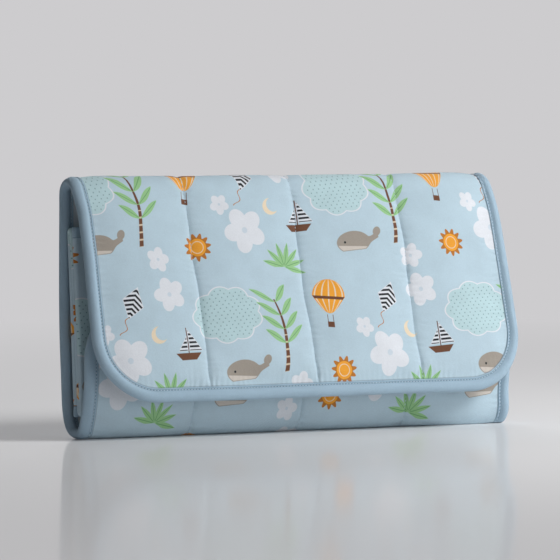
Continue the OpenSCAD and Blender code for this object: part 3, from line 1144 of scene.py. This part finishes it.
class PAD_OT_quilting(bpy.types.Operator):
    """Stitch the seams that divide the strip into channels."""
    bl_idname = "pad.quilting"
    bl_label = "Quilting seams"

    def execute(self, context):
        length = cover_ribbon().length
        middle = mid_back(length)
        spans = {"upper": (10.5, middle), "lower": (middle, length - 10.5)}
        for half, (start, stop) in spans.items():
            runs = []
            for u in seams():
                s = np.arange(start, stop, 1.3)
                across = np.full(len(s), u)
                for side in (1, -1):
                    out = side * (swell(across, s, length, np.full(len(s), side)) + 0.02)
                    runs.append(np.column_stack([across, s, out]))
            thread = stitches(f"quilting_stitches_{half}", runs, fold_cover, pitch=2.9)
            bend_with(thread, half)
        return {"FINISHED"}


# ---------------------------------------------------------------- the mat
PLY = 1.0  # half thickness of one ply: printed cover, thin foam and wipe-clean face
PLY_MIDDLE = 1.16  # a ply's middle stands this far from the middle of its pair
TURN = 2.25  # radius of the turn from one folded third to the next
TURN_END = TURN + PLY_MIDDLE + PLY  # from the turn's middle to the end of the bundle


def mat_ribbon():
    """Two plies of the mat, folded in three: rear third up, middle third down, front third up."""
    height = mat().height
    points = [(0, 0)]
    points += [(TURN + TURN * math.cos(a), height - TURN_END + TURN * math.sin(a))
               for a in np.radians(np.linspace(180, 0, 40))]
    points += [(3 * TURN + TURN * math.cos(a), TURN_END + TURN * math.sin(a))
               for a in np.radians(np.linspace(180, 360, 40))]
    points.append((4 * TURN, height))
    return Ribbon(points, 0.35)


def fold_mat(flat):
    """Folds flat mat points (across, along, out): in half at the left, then in three, then leans
    the bundle on the back panel. Millimetres in, metres out."""
    c = mat()
    u, s, h = flat[:, 0], flat[:, 1], flat[:, 2]
    bend = np.clip(u / PLY_MIDDLE, -math.pi / 2, math.pi / 2)
    beyond = np.maximum(np.abs(u) - PLY_MIDDLE * math.pi / 2, 0)
    radius = PLY_MIDDLE + h
    x = -c.width / 2 + PLY_MIDDLE + PLY - radius * np.cos(bend) + beyond
    d, z = mat_ribbon().at(s, radius * np.sin(bend))
    # The plies' closed ends lie a little unevenly at the left, and the bundle is fullest half way up
    x = x + 0.5 * np.sin(d / 2.6 + z / 60) * (1 - (x + c.width / 2) / c.width)
    d = (d + PLY_MIDDLE + PLY) * (1 + 0.1 * np.sin(np.clip(z / c.height, 0, 1) * math.pi))
    lean = math.radians(c.lean)
    depth = c.rear + d * math.cos(lean) - z * math.sin(lean)
    height = c.foot + z * math.cos(lean) + d * math.sin(lean)
    return np.stack([x, REST_MIDDLE - depth, height], 1) * MM


def mat_flat_size():
    """Width and length of the mat before it is folded."""
    c = mat()
    half = c.width - PLY_MIDDLE - PLY + PLY_MIDDLE * math.pi / 2
    return 2 * half, mat_ribbon().length


def along_mat():
    """Stations along the mat as fractions, close together where it turns."""
    length, height = mat_flat_size()[1], mat().height
    third, turn = height - 2 * TURN_END, TURN * math.pi
    first = height - TURN_END
    second = first + turn + third
    stops = [0, first - 3, first + turn + 3, second - 3, second + turn + 3, length]
    steps = [5, 0.6, 5, 0.6, 5]
    parts = [np.linspace(a, b, int((b - a) / step) + 1)[:-1]
             for a, b, step in zip(stops, stops[1:], steps)]
    return np.append(np.concatenate(parts), length) / length


def across_mat():
    """Stations across the mat as fractions, close together where it is folded in half."""
    half = mat_flat_size()[0] / 2
    near = np.linspace(0, 3.2, 13)[1:]
    far = np.linspace(3.2, half, int(half / 7))[1:]
    right = np.concatenate([near, far]) / half
    return np.concatenate([-right[::-1], [0], right]) / 2 + 0.5


def mat_sheet():
    """The mat itself: printed cover outside, foam within and the wipe-clean face inside."""
    width, length = mat_flat_size()
    across, along = across_mat(), along_mat()
    inset = 1.5  # the sheet ends this far inside its tape, and is pressed thin under it
    bm = grid(len(across) - 1, len(along) - 1)
    thicken(bm)
    raw = coordinates(bm)
    side = np.where(raw[:, 2] > raw[:, 2].mean(), 1.0, -1.0)
    u = (spread(raw[:, 0], across) - 0.5) * (width - 2 * inset)
    s = inset + spread(raw[:, 1], along) * (length - 2 * inset)
    edge = np.minimum(width / 2 - np.abs(u), np.minimum(s, length - s))
    flat = np.stack([u, s, side * np.interp(edge, [7, 11], [0.6, PLY])], 1)
    move_to(bm, flat)
    bm.verts.index_update()
    write_pattern(bm, flat)
    for face in bm.faces:
        face.material_index = 1 if {side[v.index] for v in face.verts} == {-1.0} else 0
    obj = finish_mesh(bm, "folded_mat", [mat_print(), wipe_clean_face()])
    place_flat(obj, fold_mat)
    return obj


def mat_outline(inset):
    """The mat's edge, inset: a closed loop of points across and along."""
    width, length = mat_flat_size()
    r = max(3.0 - inset, 0.4)
    half = np.array([width / 2, length / 2]) - inset - r
    sides = {0: across_mat()[1:-1][::-1], 1: along_mat()[1:-1][::-1],
             2: across_mat()[1:-1], 3: along_mat()[1:-1]}
    loop = []
    for k, (sx, sy) in enumerate([(1, 1), (-1, 1), (-1, -1), (1, -1)]):
        for a in np.radians(np.linspace(90 * k, 90 * k + 90, 5)):
            loop.append((sx * half[0] + r * math.cos(a), sy * half[1] + r * math.sin(a)))
        for f in sides[k]:
            if k % 2 == 0:
                loop.append(((2 * f - 1) * half[0], sy * (half[1] + r)))
            else:
                loop.append((sx * (half[0] + r), (2 * f - 1) * half[1]))
    loop = np.array(loop)
    return np.vstack([loop, loop[:1]]) + [0, length / 2]


MAT_TAPE = [(8.1, 0.55), (8.0, 0.85), (6.8, 0.88), (5.5, 1.05), (3.0, 1.12), (1.2, 1.02), (0.3, 0.7),
            (0, 0.3)]


def mat_tape():
    """Bias tape folded over the mat's edge all round."""
    section = MAT_TAPE + [(w, -h) for w, h in reversed(MAT_TAPE)] + MAT_TAPE[:1]
    loops = [mat_outline(w) for w, _ in section]
    rows = len(loops[0])
    bm = grid(rows - 1, len(section) - 1)
    raw = coordinates(bm)
    i = np.rint(raw[:, 0] * (rows - 1)).astype(int)
    j = np.rint(raw[:, 1] * (len(section) - 1)).astype(int)
    flat = np.array([[*loops[b][a], section[b][1]] for a, b in zip(i, j)])
    move_to(bm, flat)
    bm.verts.index_update()
    inward = np.array(section)[j, 0]
    write_pattern(bm, np.stack([running(loops[0])[i], inward], 1))
    bmesh.ops.remove_doubles(bm, verts=bm.verts, dist=1e-4)
    obj = finish_mesh(bm, "mat_edge_binding", binding_cloth())
    place_flat(obj, fold_mat)
    return obj


class PAD_OT_mat(bpy.types.Operator):
    """Fold the bound changing mat in half and in three, and stand it in the cover."""
    bl_idname = "pad.mat"
    bl_label = "Folded mat"

    def execute(self, context):
        width, length = mat_flat_size()
        sheet, tape = mat_sheet(), mat_tape()
        line = mat_outline(6.8)
        runs = [np.column_stack([line, np.full(len(line), side * 0.9)]) for side in (1, -1)]
        thread = stitches("mat_stitches", runs, fold_mat, size=(0.9, 0.2, 0.14))
        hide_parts("mat_cover", "mat_foam", "mat_face")
        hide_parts("mat_binding")
        for piece, slot in ((sheet, "printed_fabric"), (tape, "binding"), (thread, "binding")):
            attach(piece, "mat")
        return {"FINISHED"}


# ---------------------------------------------------------------- closures
def closure_tape(name, kind, thickness):
    """A stitched-down piece of hook or loop tape, with softly rounded corners."""
    m = mat()
    length = cover_ribbon().length
    side, middle = tape_beds(length)[kind]
    bm = grid(40, 14)
    bmesh.ops.scale(bm, verts=bm.verts, vec=(m.tape_width, m.tape_height, 1))
    bmesh.ops.translate(bm, verts=bm.verts, vec=(-m.tape_width / 2, middle - m.tape_height / 2, 0))
    corners = [v for v in bm.verts if len(v.link_edges) == 2]
    bmesh.ops.bevel(bm, geom=corners, offset=3, segments=4, profile=0.5, affect="VERTICES", material=-1)
    thicken(bm)
    raw = coordinates(bm)
    top = raw[:, 2] > raw[:, 2].mean()
    edge = np.minimum(m.tape_width / 2 - np.abs(raw[:, 0]),
                      m.tape_height / 2 - np.abs(raw[:, 1] - middle))
    over = TAPE_BED + thickness * np.interp(edge, [0, 0.8, 1.6, 2.4, 3.4], [0.55, 0.62, 0.6, 0.8, 1])
    flat = np.column_stack([raw[:, 0], raw[:, 1], side * np.where(top, over, TAPE_BED - 0.3)])
    move_to(bm, flat)
    bm.verts.index_update()
    write_pattern(bm, flat)
    obj = finish_mesh(bm, name, tape_cloth(kind))
    place_flat(obj, fold_cover)
    w, h = m.tape_width / 2 - 1.6, m.tape_height / 2 - 1.6
    ring = [(-w, middle - h), (w, middle - h), (w, middle + h), (-w, middle + h), (-w, middle - h)]
    run = [(u, s, side * (TAPE_BED + 0.05 + thickness * 0.6)) for u, s in ring]
    return obj, stitches(f"{name}_stitches", [run], fold_cover, pitch=2.2, size=(0.8, 0.2, 0.16))


class PAD_OT_closures(bpy.types.Operator):
    """Sew the hook tape inside the flap and the loop tape on the front panel."""
    bl_idname = "pad.closures"
    bl_label = "Closures"

    def execute(self, context):
        for kind, thickness, body in (("hook", 1.2, "flap"), ("loop", 1.6, "front")):
            tape, thread = closure_tape(f"{kind}_closure", kind, thickness)
            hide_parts(f"{kind}_tape")
            for piece in (tape, thread):
                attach(piece, body)
        return {"FINISHED"}


# ---------------------------------------------------------------- stage
AZIMUTH, ELEVATION, DISTANCE, LENS = -29.75, 2.3, 3.538, 307.6
AIM_HEIGHT, AIM_ASIDE = 0.1115, -0.00786  # where the camera looks, above the table and to the side
UNSEEN = 0.19  # the backdrop's strength where it only lights the pad
FADE = (0.45, 1.7)  # how far from the pad the floor starts and ends its fade into the backdrop
LAMPS = (  # name, place, target, size, beam in degrees, watts
    ("key_lamp", (1.15, -1.1, 1.25), (0.2, 0, 0.1), 0.8, 95, 8.9),
    ("fill_lamp", (0.9, -2.85, 0.5), (0, 0, 0.1), 1.4, 180, 14),
    ("rear_lamp", (0.7, 2.2, 1.6), (0, 0, 0.1), 1.4, 180, 15))


def aim(obj, place, target):
    """Puts a lamp or camera at a place, looking at a target."""
    obj.location = place
    obj.rotation_euler = (Vector(target) - Vector(place)).to_track_quat("-Z", "Y").to_euler()


class PAD_OT_stage(bpy.types.Operator):
    """Lay the pale floor and backdrop, and set the lamps and the camera."""
    bl_idname = "pad.stage"
    bl_label = "Stage"

    def execute(self, context):
        bm = bmesh.new()
        bmesh.ops.create_grid(bm, x_segments=1, y_segments=1, size=6)
        floor = finish_mesh(bm, "floor", floor_finish(), smooth=False)
        for name, place, target, size, beam, power in LAMPS:
            data = bpy.data.lights.new(name, "AREA")
            data.shape, data.size, data.spread, data.energy = "DISK", size, math.radians(beam), power
            lamp = bpy.data.objects.new(name, data)
            context.collection.objects.link(lamp)
            aim(lamp, place, target)
        world = context.scene.world or bpy.data.worlds.new("backdrop")
        context.scene.world = world
        world.use_nodes = True
        world.node_tree.nodes.clear()
        tree = world.node_tree
        sky = node(tree, "ShaderNodeBackground", {0: colours().backdrop, 1: seen_strength(tree)})
        node(tree, "ShaderNodeOutputWorld", {0: sky.outputs[0]})
        az, el = math.radians(AZIMUTH), math.radians(ELEVATION)
        target = Vector((math.cos(az) * AIM_ASIDE, math.sin(az) * AIM_ASIDE, AIM_HEIGHT))
        back = Vector((math.sin(az) * math.cos(el), -math.cos(az) * math.cos(el), math.sin(el)))
        data = bpy.data.cameras.new("camera")
        data.lens, data.sensor_width, data.clip_end = LENS, 36.0, 50.0
        camera = bpy.data.objects.new("camera", data)
        context.collection.objects.link(camera)
        aim(camera, target + back * DISTANCE, target)
        context.scene.camera = camera
        context.scene.view_settings.view_transform = "Standard"
        return {"FINISHED"}


def seen_strength(tree):
    """Strength of the backdrop's light: full where it is seen or mirrored, less where it only
    lights the pad."""
    path = node(tree, "ShaderNodeLightPath").outputs
    seen = Field(tree, path["Is Camera Ray"]).most(Field(tree, path["Is Glossy Ray"]))
    seen = seen.most(Field(tree, path["Is Transmission Ray"]))
    return seen.times_plus(1 - UNSEEN, UNSEEN).socket


def floor_finish():
    """Satin laminate: pale, with a faint gloss over a matt body, fading into the backdrop far
    behind."""
    material, tree = new_material("satin_laminate")
    place = node(tree, "ShaderNodeTexCoord").outputs["Object"]
    far = node(tree, "ShaderNodeVectorMath", {0: place}, operation="LENGTH")
    fade = node(tree, "ShaderNodeMapRange", {0: far.outputs["Value"], 1: FADE[0], 2: FADE[1]})
    shader = node(tree, "ShaderNodeBsdfPrincipled",
                  {"Base Color": colours().floor, "Roughness": 0.1, "Specular IOR Level": 0.3})
    matt = node(tree, "ShaderNodeBsdfDiffuse", {0: colours().floor})
    satin = node(tree, "ShaderNodeMixShader", {0: 0.5, 1: shader.outputs[0], 2: matt.outputs[0]})
    beyond = node(tree, "ShaderNodeEmission", {0: colours().backdrop, 1: seen_strength(tree)})
    mixed = node(tree, "ShaderNodeMixShader",
                 {0: fade.outputs[0], 1: satin.outputs[0], 2: beyond.outputs[0]})
    node(tree, "ShaderNodeOutputMaterial", {0: mixed.outputs[0]})
    return material


# ---------------------------------------------------------------- the add-on
class PAD_PT_panel(bpy.types.Panel):
    """Buttons that build each group of pieces."""
    bl_label = "Changing pad"
    bl_idname = "PAD_PT_panel"
    bl_space_type = "VIEW_3D"
    bl_region_type = "UI"
    bl_category = "Changing pad"

    def draw(self, context):
        for settings in (context.scene.pad_cover, context.scene.pad_mat, context.scene.pad_colours):
            column = self.layout.column(align=True)
            for key in settings.__annotations__:
                column.prop(settings, key)
        for operator in STEPS:
            self.layout.operator(operator.bl_idname)


STEPS = (PAD_OT_cover, PAD_OT_binding, PAD_OT_quilting, PAD_OT_mat, PAD_OT_closures, PAD_OT_stage)
CLASSES = (CoverSettings, MatSettings, ColourSettings, *STEPS, PAD_PT_panel)


def register():
    """Makes the settings, the operators and the panel known to Blender."""
    for cls in CLASSES:
        bpy.utils.register_class(cls)
    bpy.types.Scene.pad_cover = bpy.props.PointerProperty(type=CoverSettings)
    bpy.types.Scene.pad_mat = bpy.props.PointerProperty(type=MatSettings)
    bpy.types.Scene.pad_colours = bpy.props.PointerProperty(type=ColourSettings)


def unregister():
    """Takes them away again."""
    del bpy.types.Scene.pad_cover, bpy.types.Scene.pad_mat, bpy.types.Scene.pad_colours
    for cls in reversed(CLASSES):
        bpy.utils.unregister_class(cls)


def main():
    """Builds the pad and its stage."""
    register()
    bpy.ops.pad.cover()
    bpy.ops.pad.binding()
    bpy.ops.pad.quilting()
    bpy.ops.pad.mat()
    bpy.ops.pad.closures()
    bpy.ops.pad.stage()


if __name__ == "__main__":
    main()
